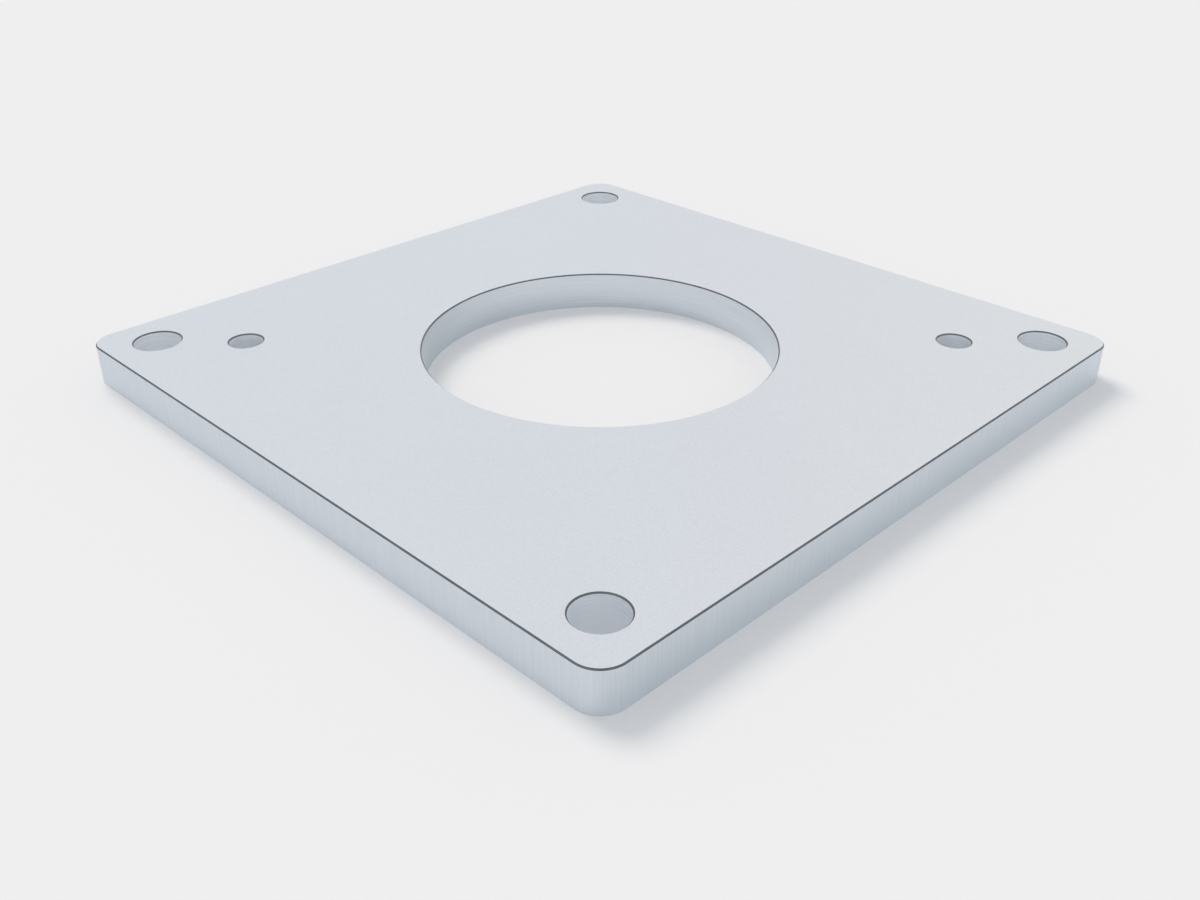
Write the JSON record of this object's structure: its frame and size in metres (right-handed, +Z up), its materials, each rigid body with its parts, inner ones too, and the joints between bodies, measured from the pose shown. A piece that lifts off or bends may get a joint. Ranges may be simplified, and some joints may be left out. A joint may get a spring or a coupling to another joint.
{
  "type": "gearbox mounting plate",
  "caption": "Flat square machined plate with rounded corners, a central bore for a gearbox spigot, corner screw holes and smaller holes on one diagonal, all with broken top edges.",
  "frame": {"origin": "centre of the underside, on the bore's axis", "axes": "+Z up out of the face with the broken edges, X and Y along the plate's sides, with the smaller holes at (-X, +Y) and (+X, -Y)"},
  "size_m": [0.145, 0.145, 0.008],
  "materials": {
    "plate_metal": "fine satin, as machined"
  },
  "bodies": {
    "root": {"mounting_plate": "plate_metal"}
  },
  "joints": []
}
